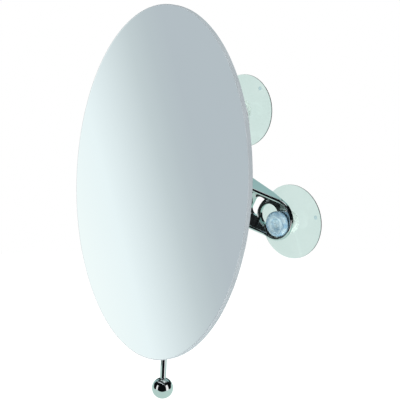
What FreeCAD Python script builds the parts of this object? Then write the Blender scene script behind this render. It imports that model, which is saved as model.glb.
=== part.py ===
"""Oval makeup mirror carried by a three-armed bracket with suction cups.

The wall is the plane y = 0 and the object stands in front of it, towards -y.
The origin is the point of the wall at the middle of the three cups, and z is up.
All lengths are in millimetres.
"""
import FreeCAD, Part
import math
import os

Vector = FreeCAD.Vector

# Running clearances
turn_clearance = 0.3
pin_clearance = 0.05
slip_gap = 0.03

# Suction cups, moulded in clear soft plastic
cup_names = ("top", "left", "right")
first_cup_angle = 90.0
top_nib_angle = 45.0
left_nib_angle = 150.0
right_nib_angle = 12.7
cup_circle_radius = 54.0
cup_radius = 27.5
cup_lip_width = 2.5
cup_edge_thickness = 1.0
cup_hollow_depth = 2.2
cup_root_thickness = 2.6
cup_root_round = 3.0
cup_stub_radius = 5.6
cup_neck_radius = 4.5
cup_head_radius = 9.2
cup_head_rear_radius = 8.4
cup_head_flare = 0.6
cup_head_height = 4.5
cup_head_front_round = 1.8
cup_dimple_radius = 5.8
cup_dimple_depth = 1.3
cup_nib_radius = 1.2
cup_nib_height = 1.6
cup_nib_offset = 23.7

# Bracket: a cast hub and three channel arms, open to the front
arm_half_width = 15.7
arm_end_from_cup = 5.2
arm_wall = 2.8
arm_web = 2.2
arm_rim_round = 1.3
pad_back = 12.5
pad_lip = 0.3
web_bend_from_cup = 18.5
rim_bend_from_cup = 5.7
rim_bend_radius = 7.0
web_slope = 0.21
rim_slope = 0.78
entry_from_cup = 10.9
entry_radius = 8.3
window_from_cup = 21.6
window_length = 5.6
window_half_width = 7.7
window_corner = 5.0
hub_radius = 20.0
hub_rear_rim = 1.0
hub_nose = 1.1
hub_round = 2.0
hub_bore_radius = 13.5
hub_front_wall = 6.0

# Swivel hinge between the bracket and the knuckle
swivel_gap = 2.5
ear_half_width = 8.0
ear_thickness = 4.0
barrel_radius = 7.4
barrel_height = 16.1
washer_thickness = 0.8
washer_radius = 7.0

# Tilt hinge between the knuckle and the back plate
hinge_spacing = 18.0
knuckle_thickness = 10.0
knuckle_eye_radius = 7.0
lug_thickness = 4.0
lug_radius = 7.5

# Easing of the edges of ears, eye, lugs and boss
edge_ease = 0.5

# Bolts, nuts and disc springs of the two hinges
bolt_radius = 2.5
bolt_head_radius = 4.6
bolt_head_height = 2.8
bolt_socket_flats = 3.0
bolt_socket_depth = 1.5
bolt_end = 1.0
nut_flats = 8.0
nut_height = 4.0
nut_chamfer = 0.6
spring_radius = 5.0
spring_thickness = 0.7
spring_dish = 0.5

# Mirror: ground oval glass, coating, foam pad and back plate
rest_tilt = 3.8
mirror_half_width = 86.4
mirror_half_height = 123.7
mirror_rise = 3.3
glass_thickness = 4.0
glass_edge_round = 0.7
backing_thickness = 0.4
backing_inset = 1.0
backing_edge_round = 0.1
pad_radius = 24.0
pad_thickness = 1.0
plate_radius = 26.0
plate_thickness = 3.0
plate_edge_round = 1.5
plate_to_tilt_axis = 15.1

# Handle: a rod set in a boss of the back plate, with a ball on its end
rod_radius = 2.2
rod_behind_plate = 8.3
rod_socket_depth = 11.0
boss_radius = 5.5
boss_top = 14.0
boss_length = 13.0
set_screw_radius = 1.5
set_screw_drop = 7.0
ball_radius = 7.7
ball_below_axis = 144.5
ball_bore_depth = 8.0

# Directions of the arms and of the pull nibs, from +x towards +z
cup_step = 360.0 / len(cup_names)
cup_angles = {name: first_cup_angle + cup_step * count for count, name in enumerate(cup_names)}
nib_angles = dict(zip(cup_names, (top_nib_angle, left_nib_angle, right_nib_angle)))

# Derived planes, measured outwards from the wall
web_front = pad_back + arm_web
pad_rim = web_front + pad_lip
web_bend = cup_circle_radius - web_bend_from_cup
rim_bend = cup_circle_radius - rim_bend_from_cup
rim_meets_hub = math.sqrt(hub_radius ** 2 - arm_half_width ** 2)
rim_at_hub = pad_rim + rim_slope * (rim_bend - rim_meets_hub)
hub_back = pad_back + web_slope * (web_bend - hub_radius) - hub_rear_rim
hub_front = rim_at_hub + hub_nose
swivel_out = hub_front + swivel_gap + barrel_radius
tilt_out = swivel_out + hinge_spacing
slot_half_width = cup_neck_radius + turn_clearance
entry_along = cup_circle_radius - entry_from_cup
arm_end = cup_circle_radius - arm_end_from_cup
ear_inside = barrel_height / 2 + washer_thickness + 2 * slip_gap
lug_inside = knuckle_thickness / 2 + washer_thickness + 2 * slip_gap
hole_radius = bolt_radius + pin_clearance
spring_height = spring_thickness + spring_dish


def at(x, out, z):
    """Point x to the right of the origin, out from the wall and z up."""
    return Vector(x, -out, z)


def outline(start, *steps):
    """Closed wire from a start point: a step of one point is a line, of two points an arc."""
    edges = []
    here = start
    for step in steps:
        if len(step) == 1:
            edges.append(Part.LineSegment(here, step[0]).toShape())
        else:
            edges.append(Part.Arc(here, step[0], step[1]).toShape())
        here = step[-1]
    edges.append(Part.LineSegment(here, start).toShape())
    return Part.Wire(edges)


def round_point(centre, radius, degrees):
    """Point of the plane z = 0 on a circle about centre, its angle counted from +x to the room."""
    turn = math.radians(degrees)
    return centre + at(radius * math.cos(turn), radius * math.sin(turn), 0)


def turned(wire):
    """Solid of revolution of an outline in the plane z = 0 about the y axis."""
    return Part.Face(wire).revolve(Vector(0, 0, 0), Vector(0, 1, 0), 360)


def rod(radius, start, end):
    """Round bar between two points."""
    return Part.makeCylinder(radius, (end - start).Length, start, end - start)


def ring(outer, inner, start, end):
    """Round bar with a round hole along it."""
    return rod(outer, start, end).cut(rod(inner, start, end))


def eased_plate(wire, thickness):
    """Plate from an outline and a thickness vector, with the edges of its two faces rounded."""
    plate = Part.Face(wire).extrude(thickness)
    along = Vector(thickness).normalize()
    rims = []
    for edge in plate.Edges:
        first = edge.valueAt(edge.FirstParameter)
        last = edge.valueAt(edge.LastParameter)
        if abs((last - first).dot(along)) < thickness.Length / 2:
            rims.append(edge)
    return plate.makeFillet(edge_ease, rims)


def hexagon(flats, start, end):
    """Six-sided bar between two points along y, given its width across flats."""
    corner = flats / math.sqrt(3)
    points = []
    for step in range(7):
        turn = math.radians(60 * step)
        points.append(start + Vector(corner * math.cos(turn), 0, corner * math.sin(turn)))
    return Part.Face(Part.makePolygon(points)).extrude(end - start)


def about_y(shape, degrees):
    """Copy turned about the y axis, so that +x goes to the given angle from +x towards +z."""
    turned_copy = shape.copy()
    turned_copy.rotate(Vector(0, 0, 0), Vector(0, 1, 0), -degrees)
    return turned_copy


def cup_place(name):
    """Point of the wall under a cup's axis."""
    turn = math.radians(cup_angles[name])
    return at(cup_circle_radius * math.cos(turn), 0, cup_circle_radius * math.sin(turn))


def cap_middle(radius, height):
    """Height, at half its radius, of a spherical cap of the given radius and height."""
    sphere = (radius ** 2 + height ** 2) / (2 * height)
    return height - sphere + math.sqrt(sphere ** 2 - (radius / 2) ** 2)


def suction_cup(name):
    """Thin cup with a stub, a neck that passes the keyhole and a dimpled mushroom head in front of it."""
    hollow_edge = cup_radius - cup_lip_width
    shoulder = pad_back - turn_clearance
    root_radius = cup_stub_radius + cup_root_round
    root_centre = at(root_radius, cup_root_thickness + cup_root_round, 0)
    head_back = pad_rim + turn_clearance
    head_wide = head_back + cup_head_flare
    head_front = head_back + cup_head_height
    face_edge = cup_head_radius - cup_head_front_round
    front_centre = at(face_edge, head_front - cup_head_front_round, 0)
    hollow_middle = cap_middle(hollow_edge, cup_hollow_depth)
    dimple_middle = head_front - cap_middle(cup_dimple_radius, cup_dimple_depth)
    cup = turned(outline(
        at(0, cup_hollow_depth, 0),
        (at(hollow_edge / 2, hollow_middle, 0), at(hollow_edge, 0, 0)),
        (at(cup_radius, 0, 0),),
        (at(cup_radius, cup_edge_thickness, 0),),
        (at(root_radius, cup_root_thickness, 0),),
        (round_point(root_centre, cup_root_round, 225), round_point(root_centre, cup_root_round, 180)),
        (at(cup_stub_radius, shoulder, 0),),
        (at(cup_neck_radius, shoulder, 0),),
        (at(cup_neck_radius, head_back, 0),),
        (at(cup_head_rear_radius, head_back, 0),),
        (at(cup_head_radius, head_wide, 0),),
        (at(cup_head_radius, head_front - cup_head_front_round, 0),),
        (round_point(front_centre, cup_head_front_round, 45), at(face_edge, head_front, 0)),
        (at(cup_dimple_radius, head_front, 0),),
        (at(cup_dimple_radius / 2, dimple_middle, 0), at(0, head_front - cup_dimple_depth, 0)),
    ))
    nib_root = at(cup_nib_offset, cup_edge_thickness, 0)
    nib = rod(cup_nib_radius, nib_root, nib_root + at(0, cup_nib_height, 0))
    cup = cup.fuse(about_y(nib, nib_angles[name]))
    cup.translate(cup_place(name))
    return cup


def arm_plan(half_width, depth):
    """Bar from the hub axis along +x with a round end near the cup, as a prism from the wall."""
    wire = outline(
        at(0, 0, half_width),
        (at(arm_end, 0, half_width),),
        (at(arm_end + half_width, 0, 0), at(arm_end, 0, -half_width)),
        (at(0, 0, -half_width),),
    )
    return Part.Face(wire).extrude(at(0, depth, 0))


def arm_side(wire):
    """Prism across the arm from an outline at its lower side."""
    return Part.Face(wire).extrude(Vector(0, 0, 2 * arm_half_width))


def rim_height(along):
    """Distance of the sharp front rim from the wall, at a distance along the arm."""
    return pad_rim + rim_slope * max(rim_bend - along, 0)


def round_rim(walls):
    """Arm walls with both edges of their front rim rounded."""
    edges = []
    for edge in walls.Edges:
        middle = edge.valueAt((edge.FirstParameter + edge.LastParameter) / 2)
        across = edge.BoundBox.ZLength > arm_wall / 2 and edge.BoundBox.XLength < slip_gap
        near_rim = -middle.y > rim_height(middle.x) - slip_gap
        if near_rim and middle.x > rim_meets_hub and not across:
            edges.append(edge)
    return walls.makeFillet(arm_rim_round, edges)


def through_hole(radius, along):
    """Round cutter through the whole depth of the arm."""
    return rod(radius, at(along, 0, 0), at(along, rim_at_hub, 0))


def through_slot(half_width, start, end):
    """Straight-sided cutter through the whole depth of the arm, between two distances along it."""
    return Part.makeBox(end - start, rim_at_hub, 2 * half_width, at(start, rim_at_hub, -half_width))


def web_window():
    """Cutter for the window, with an outer side curved about the cup's axis and round inner corners."""
    outer_side = cup_circle_radius - window_from_cup
    hub_side = outer_side - window_length
    side = window_half_width
    corner = cup_circle_radius - math.sqrt(window_from_cup ** 2 - side ** 2)
    round_x = hub_side + window_corner
    round_z = side - window_corner
    bulge = window_corner * math.sqrt(0.5)
    wire = outline(
        at(corner, 0, -side),
        (at(outer_side, 0, 0), at(corner, 0, side)),
        (at(round_x, 0, side),),
        (at(round_x - bulge, 0, round_z + bulge), at(hub_side, 0, round_z)),
        (at(hub_side, 0, -round_z),),
        (at(round_x - bulge, 0, -round_z - bulge), at(round_x, 0, -side)),
    )
    return Part.Face(wire).extrude(at(0, rim_at_hub, 0))


def bracket_arm():
    """Channel arm along +x from the hub: wedge-shaped walls, and a web with a keyhole and a window."""
    low = -arm_half_width
    tip = arm_end + arm_half_width
    back_at_axis = pad_back + web_slope * web_bend
    outer = arm_plan(arm_half_width, rim_at_hub)
    inner = arm_plan(arm_half_width - arm_wall, rim_at_hub)
    rim_turn = math.atan(rim_slope)
    bend_length = rim_bend_radius * math.tan(rim_turn / 2)
    bend_sag = rim_bend_radius / math.cos(rim_turn / 2) - rim_bend_radius
    bend_corner = at(rim_bend, pad_rim, low)
    bend_away = at(math.sin(rim_turn / 2), math.cos(rim_turn / 2), 0)
    bend_towards_hub = at(-math.cos(rim_turn), math.sin(rim_turn), 0)
    bend_middle = bend_corner + bend_away * bend_sag
    bend_hub_end = bend_corner + bend_towards_hub * bend_length
    wall_side = arm_side(outline(
        at(0, back_at_axis, low),
        (at(web_bend, pad_back, low),),
        (at(tip, pad_back, low),),
        (at(tip, pad_rim, low),),
        (at(rim_bend + bend_length, pad_rim, low),),
        (bend_middle, bend_hub_end),
        (at(rim_meets_hub, rim_at_hub, low),),
        (at(0, rim_at_hub, low),),
    ))
    web_side = arm_side(outline(
        at(0, back_at_axis, low),
        (at(web_bend, pad_back, low),),
        (at(tip, pad_back, low),),
        (at(tip, web_front, low),),
        (at(web_bend, web_front, low),),
        (at(0, back_at_axis + arm_web, low),),
    ))
    walls = round_rim(outer.cut(inner).common(wall_side))
    web = arm_plan(arm_half_width - arm_wall / 2, rim_at_hub).common(web_side)
    entry = through_hole(entry_radius, entry_along)
    seat = through_hole(slot_half_width, cup_circle_radius)
    slot = through_slot(slot_half_width, entry_along, cup_circle_radius)
    for opening in (entry, seat, slot, web_window()):
        web = web.cut(opening)
    return walls.fuse(web).cut(through_hole(hub_radius, 0)).removeSplitter()


def bracket_hub():
    """Hub with a hollow back and two ears that hold the swivel bolt."""
    nose_centre = at(hub_radius - hub_round, hub_front - hub_round, 0)
    body = turned(outline(
        at(0, hub_back, 0),
        (at(hub_radius, hub_back, 0),),
        (at(hub_radius, hub_front - hub_round, 0),),
        (round_point(nose_centre, hub_round, 45), at(hub_radius - hub_round, hub_front, 0)),
        (at(0, hub_front, 0),),
    ))
    for low in (ear_inside, -ear_inside - ear_thickness):
        high = low + ear_thickness
        ear = outline(
            at(-ear_half_width, hub_front - hub_round, low),
            (at(-ear_half_width, swivel_out, low),),
            (at(0, swivel_out + ear_half_width, low), at(ear_half_width, swivel_out, low)),
            (at(ear_half_width, hub_front - hub_round, low),),
        )
        body = body.fuse(eased_plate(ear, Vector(0, 0, ear_thickness)))
        body = body.cut(rod(hole_radius, at(0, swivel_out, low), at(0, swivel_out, high)))
    bore_floor = hub_front - hub_front_wall
    return body.cut(rod(hub_bore_radius, at(0, 0, 0), at(0, bore_floor, 0))).removeSplitter()


def hinge_bolt(grip):
    """Button-head bolt along y, its head above y = 0 and its shank through grip, spring and nut."""
    length = grip + spring_height + nut_height + bolt_end
    crown = Vector(bolt_head_radius / 2, cap_middle(bolt_head_radius, bolt_head_height), 0)
    bolt = turned(outline(
        Vector(0, bolt_head_height, 0),
        (crown, Vector(bolt_head_radius, 0, 0)),
        (Vector(bolt_radius, 0, 0),),
        (Vector(bolt_radius, -length, 0),),
        (Vector(0, -length, 0),),
    ))
    return bolt.cut(hexagon(bolt_socket_flats, Vector(0, bolt_head_height - bolt_socket_depth, 0),
                            Vector(0, bolt_head_height, 0)))


def hinge_spring(grip):
    """Disc spring under the nut of a hinge bolt."""
    top = -grip
    return turned(outline(
        Vector(hole_radius, top - spring_dish, 0),
        (Vector(spring_radius, top, 0),),
        (Vector(spring_radius, top - spring_thickness, 0),),
        (Vector(hole_radius, top - spring_height, 0),),
    ))


def hinge_nut(grip):
    """Hexagon nut with chamfered corners on the end of a hinge bolt."""
    top = -grip - spring_height
    bottom = top - nut_height
    corner = nut_flats / math.sqrt(3)
    turned_blank = turned(outline(
        Vector(hole_radius, top, 0),
        (Vector(corner - nut_chamfer, top, 0),),
        (Vector(corner, top - nut_chamfer, 0),),
        (Vector(corner, bottom + nut_chamfer, 0),),
        (Vector(corner - nut_chamfer, bottom, 0),),
        (Vector(hole_radius, bottom, 0),),
    ))
    return turned_blank.common(hexagon(nut_flats, Vector(0, top, 0), Vector(0, bottom, 0)))


def hinge_washers(inside):
    """Two plastic friction washers about y, one on each side of the piece that turns between them."""
    near = inside + slip_gap
    far = near + washer_thickness
    upper = ring(washer_radius, hole_radius, Vector(0, near, 0), Vector(0, far, 0))
    lower = ring(washer_radius, hole_radius, Vector(0, -far, 0), Vector(0, -near, 0))
    return Part.makeCompound([upper, lower])


def set_upright(shape):
    """Hinge piece made along y, stood up along z at the swivel axis with its top end up."""
    shape.rotate(Vector(0, 0, 0), Vector(1, 0, 0), 90)
    shape.translate(at(0, swivel_out, 0))
    return shape


def set_crosswise(shape):
    """Hinge piece made along y, laid along x at the tilt axis with its top end to the right."""
    shape.rotate(Vector(0, 0, 0), Vector(0, 0, 1), -90)
    return set_on_mirror(shape)


def set_on_mirror(shape):
    """Piece made about the tilt axis with the glass upright, leaned back by the rest tilt."""
    shape.rotate(Vector(0, 0, 0), Vector(1, 0, 0), -rest_tilt)
    shape.translate(at(0, tilt_out, 0))
    return shape


def hinge(prefix, outside, inside, place):
    """Bolt, nut, disc spring and washers of one hinge, clamped over the two outer faces."""
    grip = 2 * outside
    pieces = {}
    for name, make in (("bolt", hinge_bolt), ("nut", hinge_nut), ("spring_washer", hinge_spring)):
        shape = make(grip)
        shape.translate(Vector(0, outside, 0))
        pieces[prefix + "_" + name] = place(shape)
    pieces[prefix + "_washers"] = place(hinge_washers(inside))
    return pieces


def knuckle_block():
    """Upright barrel for the swivel bolt with a flat eye in front of it for the tilt bolt."""
    half = knuckle_thickness / 2
    eye_top = at(-half, swivel_out, knuckle_eye_radius)
    plate = outline(
        eye_top,
        (at(-half, tilt_out, knuckle_eye_radius),),
        (at(-half, tilt_out + knuckle_eye_radius, 0), at(-half, tilt_out, -knuckle_eye_radius)),
        (at(-half, swivel_out, -knuckle_eye_radius),),
    )
    block = eased_plate(plate, Vector(knuckle_thickness, 0, 0))
    low = at(0, swivel_out, -barrel_height / 2)
    high = at(0, swivel_out, barrel_height / 2)
    block = block.fuse(rod(barrel_radius, low, high))
    block = block.cut(rod(hole_radius, low, high))
    return block.cut(rod(hole_radius, at(-half, tilt_out, 0), at(half, tilt_out, 0))).removeSplitter()


def oval_slab(inset, back, front, edge_round):
    """Oval plate between two distances in front of the tilt axis, with eased edges."""
    half_height = mirror_half_height - inset
    half_width = mirror_half_width - inset
    eased = edge_round
    sections = []
    for out, less in ((back, eased), (back + eased, 0), (front - eased, 0), (front, eased)):
        edge = Part.Ellipse(at(0, 0, 0), half_height - less, half_width - less).toShape()
        edge.rotate(Vector(0, 0, 0), Vector(0, 0, 1), 90)
        edge.rotate(Vector(0, 0, 0), Vector(1, 0, 0), 90)
        edge.translate(at(0, out, mirror_rise))
        sections.append(Part.Wire(edge))
    return Part.makeLoft(sections, True, True)


plate_back = plate_to_tilt_axis
plate_front = plate_back + plate_thickness
pad_front = plate_front + pad_thickness
backing_front = pad_front + backing_thickness
glass_front = backing_front + glass_thickness
rod_out = plate_back - rod_behind_plate
boss_bottom = boss_top + boss_length
rod_top = -boss_bottom + rod_socket_depth
set_screw_height = -boss_top - set_screw_drop


def back_plate():
    """Round plate with two lugs for the tilt bolt and a boss for the rod."""
    edge_out = plate_back + plate_edge_round
    edge_centre = at(plate_radius - plate_edge_round, edge_out, 0)
    plate = turned(outline(
        at(0, plate_back, 0),
        (at(plate_radius - plate_edge_round, plate_back, 0),),
        (round_point(edge_centre, plate_edge_round, -45), at(plate_radius, edge_out, 0)),
        (at(plate_radius, plate_front, 0),),
        (at(0, plate_front, 0),),
    ))
    for left in (lug_inside, -lug_inside - lug_thickness):
        lug = outline(
            at(left, plate_front, lug_radius),
            (at(left, 0, lug_radius),),
            (at(left, -lug_radius, 0), at(left, 0, -lug_radius)),
            (at(left, plate_front, -lug_radius),),
        )
        plate = plate.fuse(eased_plate(lug, Vector(lug_thickness, 0, 0)))
    boss = outline(
        at(-boss_radius, plate_front, -boss_bottom),
        (at(-boss_radius, rod_out, -boss_bottom),),
        (at(0, rod_out - boss_radius, -boss_bottom), at(boss_radius, rod_out, -boss_bottom)),
        (at(boss_radius, plate_front, -boss_bottom),),
    )
    plate = plate.fuse(eased_plate(boss, Vector(0, 0, boss_length)))
    bolt_hole = rod(hole_radius, at(-plate_radius, 0, 0), at(plate_radius, 0, 0))
    socket = rod(rod_radius + pin_clearance, at(0, rod_out, -boss_bottom), at(0, rod_out, rod_top))
    screw_start = at(0, rod_out, set_screw_height)
    screw_end = at(0, rod_out - boss_radius, set_screw_height)
    screw_hole = rod(set_screw_radius + pin_clearance, screw_start, screw_end)
    return plate.cut(bolt_hole).cut(socket).cut(screw_hole).removeSplitter()


def rod_set_screw():
    """Headless screw that locks the rod in its boss from behind."""
    outer_end = at(0, rod_out - boss_radius + slip_gap, set_screw_height)
    inner_end = at(0, rod_out - rod_radius - slip_gap, set_screw_height)
    return rod(set_screw_radius, outer_end, inner_end)


def handle_rod():
    """Straight round rod from the boss down into the ball."""
    low = -ball_below_axis + ball_radius - ball_bore_depth
    return rod(rod_radius, at(0, rod_out, low + slip_gap), at(0, rod_out, rod_top - slip_gap))


def handle_ball():
    """Ball with a blind hole for the rod."""
    centre = at(0, rod_out, -ball_below_axis)
    ball = Part.makeSphere(ball_radius, centre)
    hole_floor = centre + Vector(0, 0, ball_radius - ball_bore_depth)
    return ball.cut(rod(rod_radius + pin_clearance, hole_floor, centre + Vector(0, 0, ball_radius)))


pieces = {"suction_cup_" + name: suction_cup(name) for name in cup_names}
pieces["bracket_hub"] = bracket_hub()
arm = bracket_arm()
for name in cup_names:
    pieces["bracket_arm_" + name] = about_y(arm, cup_angles[name])
pieces["knuckle_block"] = knuckle_block()
pieces.update(hinge("swivel", ear_inside + ear_thickness, barrel_height / 2, set_upright))
pieces.update(hinge("tilt", lug_inside + lug_thickness, knuckle_thickness / 2, set_crosswise))
glass = oval_slab(0, backing_front, glass_front, glass_edge_round)
backing = oval_slab(backing_inset, pad_front, backing_front, backing_edge_round)
pieces["mirror_glass"] = set_on_mirror(glass)
pieces["mirror_backing"] = set_on_mirror(backing)
pieces["adhesive_pad"] = set_on_mirror(rod(pad_radius, at(0, plate_front, 0), at(0, pad_front, 0)))
pieces["back_plate"] = set_on_mirror(back_plate())
pieces["rod_set_screw"] = set_on_mirror(rod_set_screw())
pieces["handle_rod"] = set_on_mirror(handle_rod())
pieces["handle_ball"] = set_on_mirror(handle_ball())

os.makedirs("parts", exist_ok=True)
for name, shape in pieces.items():
    shape.exportStep("parts/" + name + ".step")
    print(name, "solids", len(shape.Solids), "volume", round(shape.Volume, 1), "valid", shape.isValid())
print("swivel axis", round(swivel_out, 4), "tilt axis", round(tilt_out, 4))
print("glass front", round(tilt_out + glass_front, 4))
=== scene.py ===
# %% [markdown]
# # Oval makeup mirror on a suction-cup bracket
#
# The object's solids come in as a fixed frame, in metres, and are never moved.
# The wall is the plane y = 0, the glass faces -y and +z is up. This lesson
# dresses the solids: it swaps those of the glass, the foam pad and the cups for
# finer surfaces, gives every piece a finish made of shader nodes, and builds a
# small photo studio round the object.

# %% Load the frame
import bpy
import bmesh
import math
import numpy as np
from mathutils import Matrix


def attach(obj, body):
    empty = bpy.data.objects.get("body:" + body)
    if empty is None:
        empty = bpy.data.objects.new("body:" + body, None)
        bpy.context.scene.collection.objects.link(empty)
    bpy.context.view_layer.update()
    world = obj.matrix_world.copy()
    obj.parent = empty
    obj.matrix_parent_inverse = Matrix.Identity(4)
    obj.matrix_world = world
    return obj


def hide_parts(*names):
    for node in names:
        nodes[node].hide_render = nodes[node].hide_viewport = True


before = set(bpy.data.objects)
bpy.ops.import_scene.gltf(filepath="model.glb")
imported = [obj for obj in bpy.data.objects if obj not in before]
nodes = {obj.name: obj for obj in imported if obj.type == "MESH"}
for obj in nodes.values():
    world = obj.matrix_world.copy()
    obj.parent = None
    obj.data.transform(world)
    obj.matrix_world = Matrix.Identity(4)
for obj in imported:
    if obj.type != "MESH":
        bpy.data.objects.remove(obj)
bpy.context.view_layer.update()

MM = 0.001

# %% [markdown]
# ## The camera
#
# The mirror is seen from its right and a little above, through a long lens that
# keeps the oval calm, as in a catalogue picture. A camera can be aimed with a
# Track To constraint. Here its place and turn come from an azimuth, counted
# from -y towards +x, and an elevation, because the lamps and the studio are
# laid out by the same two angles.

# %% Place the camera
VIEW_AZIMUTH = math.radians(43.7)
VIEW_ELEVATION = math.radians(7.0)
VIEW_DISTANCE = 665.5 * MM
IMAGE_SIZE = 400
FOCAL_PIXELS = 902.1
SENSOR_WIDTH = 36.0
VIEW_CENTRE = np.array([0.0, -44.0, 0.0]) * MM
VIEW_SLIDE_RIGHT = -3.63 * MM
VIEW_SLIDE_UP = -11.0 * MM


def stacked(x, y, z):
    """Points from three coordinates, each repeated along the rows or columns that it lacks."""
    return np.stack(np.broadcast_arrays(x, y, z), axis=-1)


def direction(azimuth, elevation):
    """Unit vector at an azimuth a and an elevation e, in radians: sin a cos e, -cos a cos e, sin e."""
    level = np.cos(elevation)
    return stacked(np.sin(azimuth) * level, -np.cos(azimuth) * level, np.sin(elevation))


def look_from(thing, target, azimuth, elevation, distance):
    """Place a camera or lamp at a direction and distance from a target, looking at it."""
    thing.location = target + direction(azimuth, elevation) * distance
    thing.rotation_euler = (math.pi / 2 - elevation, 0.0, azimuth)


view_back = direction(VIEW_AZIMUTH, VIEW_ELEVATION)
view_right = np.array([math.cos(VIEW_AZIMUTH), math.sin(VIEW_AZIMUTH), 0.0])
view_up = np.cross(view_back, view_right)
view_target = VIEW_CENTRE + view_right * VIEW_SLIDE_RIGHT + view_up * VIEW_SLIDE_UP

camera_data = bpy.data.cameras.new("camera")
camera_data.sensor_width = SENSOR_WIDTH
camera_data.lens = SENSOR_WIDTH * FOCAL_PIXELS / IMAGE_SIZE
camera = bpy.data.objects.new("camera", camera_data)
look_from(camera, view_target, VIEW_AZIMUTH, VIEW_ELEVATION, VIEW_DISTANCE)
bpy.context.scene.collection.objects.link(camera)
bpy.context.scene.camera = camera
print("camera: lens", round(camera_data.lens, 2), "mm at", [round(c, 3) for c in camera.location])

# %% [markdown]
# ## Surfaces from arrays
#
# Each new piece is a grid of points: rows run along a profile and columns run
# round it. Blender could turn a profile with a Screw modifier, but a grid lets
# every quad have its own finish, and numpy works out all the points at once.
# One helper turns a grid into a mesh. Where a row shrinks to a point its
# vertices are merged, so that poles are closed, and then the normals are made
# to point outwards. A second helper hands the mesh to the body that carries it.

# %% Mesh helper
MERGE_DISTANCE = 1e-7
SHARP_DEGREES = 35.0


def mesh_from_grid(name, grid, material_numbers=0, sharp_degrees=SHARP_DEGREES, closed=True, reach=None):
    """Mesh of a grid of points of shape (rows, columns, 3).

    Quad (i, j) joins the points (i, j), (i, j+1), (i+1, j+1) and (i+1, j). On a closed grid j+1 is
    taken modulo the number of columns, so the last column joins the first. material_numbers holds
    the material number of each quad, or one number for each band of quads or for all. reach is each
    point's distance from the piece's axis, kept as the attribute from_axis for a finish to read.
    """
    rows, columns = grid.shape[:2]
    index = np.arange(rows * columns).reshape(rows, columns)
    onward = np.roll(index, -1, axis=1)
    used = columns if closed else columns - 1
    quads = np.stack([index[:-1], onward[:-1], onward[1:], index[1:]], axis=-1)[:, :used].reshape(-1, 4)
    numbers = np.broadcast_to(material_numbers, (rows - 1, used)).ravel()
    mesh = bpy.data.meshes.new(name)
    mesh.vertices.add(rows * columns)
    mesh.vertices.foreach_set("co", grid.ravel())
    mesh.loops.add(quads.size)
    mesh.loops.foreach_set("vertex_index", quads.ravel())
    mesh.polygons.add(len(quads))
    mesh.polygons.foreach_set("loop_start", np.arange(0, quads.size, 4))
    mesh.polygons.foreach_set("material_index", numbers)
    mesh.update(calc_edges=True)
    if reach is not None:
        mesh.attributes.new("from_axis", "FLOAT", "POINT").data.foreach_set("value", reach.ravel())
    shell = bmesh.new()
    shell.from_mesh(mesh)
    bmesh.ops.remove_doubles(shell, verts=shell.verts, dist=MERGE_DISTANCE)
    bmesh.ops.recalc_face_normals(shell, faces=shell.faces)
    shell.to_mesh(mesh)
    shell.free()
    mesh.shade_smooth()
    mesh.set_sharp_from_angle(angle=math.radians(sharp_degrees))
    return mesh


print("meshes: points merge within", MERGE_DISTANCE, "m, folds are sharp over", SHARP_DEGREES, "degrees")

# %% Piece helper
def add_piece(name, mesh, body, replaced, materials):
    """Object for a finished mesh, riding on a body in place of a plain solid."""
    piece = bpy.data.objects.new(name, mesh)
    bpy.context.scene.collection.objects.link(piece)
    for material in materials:
        mesh.materials.append(material)
    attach(piece, body)
    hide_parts(replaced)
    return piece


# %% [markdown]
# ## Shared surface effects
#
# Three effects lie behind the finishes. Handling marks are the soft patches
# that fingers and a cloth leave on polished metal, and they change its gloss
# and shade a little. Fine grain is the small unevenness of paint, moulding and
# ground glass. Painted light rings are broken bands of painted highlight and
# painted shade in the colour of a thick round moulding. Image textures could
# paint them, but noise on Object coordinates needs no unwrapping and holds from
# near and far. Each effect is a node group with named sockets, built once and
# given its own values in each finish.

# %% Groups and sockets
def new_group(name, inputs, outputs):
    """Empty shader node group with float inputs, given as {name: default}, and float outputs."""
    group = bpy.data.node_groups.new(name, "ShaderNodeTree")
    for label, default in inputs.items():
        socket = group.interface.new_socket(label, in_out="INPUT", socket_type="NodeSocketFloat")
        socket.default_value = default
    for label in outputs:
        group.interface.new_socket(label, in_out="OUTPUT", socket_type="NodeSocketFloat")
    return group, group.nodes.new("NodeGroupInput"), group.nodes.new("NodeGroupOutput")


def feed(tree, socket, value):
    """Set a socket to a number or a colour, or link another socket to it."""
    if isinstance(value, (int, float)):
        socket.default_value = value
    elif isinstance(value, tuple):
        socket.default_value = (*value, 1.0)
    else:
        tree.links.new(value, socket)


print("helpers for groups and sockets:", new_group.__name__, feed.__name__)

# %% Nodes for patterns and masks
FULL_RANGE = (0.0, 1.0)


def noise(tree, scale, detail):
    """Noise texture on Object coordinates."""
    place = tree.nodes.new("ShaderNodeTexCoord")
    texture = tree.nodes.new("ShaderNodeTexNoise")
    feed(tree, texture.inputs["Vector"], place.outputs["Object"])
    feed(tree, texture.inputs["Scale"], scale)
    feed(tree, texture.inputs["Detail"], detail)
    return texture.outputs["Fac"]


def spread(tree, value, between, to=FULL_RANGE, smooth=True):
    """Map Range node that carries one range of values to another."""
    node = tree.nodes.new("ShaderNodeMapRange")
    node.interpolation_type = "SMOOTHSTEP" if smooth else "LINEAR"
    feed(tree, node.inputs["Value"], value)
    for label, number in zip(("From Min", "From Max", "To Min", "To Max"), (*between, *to)):
        feed(tree, node.inputs[label], number)
    return node.outputs["Result"]


def combine(tree, operation, *values):
    """Math node of one to three values, each a socket or a number."""
    node = tree.nodes.new("ShaderNodeMath")
    node.operation = operation
    for socket, value in zip(node.inputs, values):
        feed(tree, socket, value)
    return node.outputs["Value"]


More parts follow.
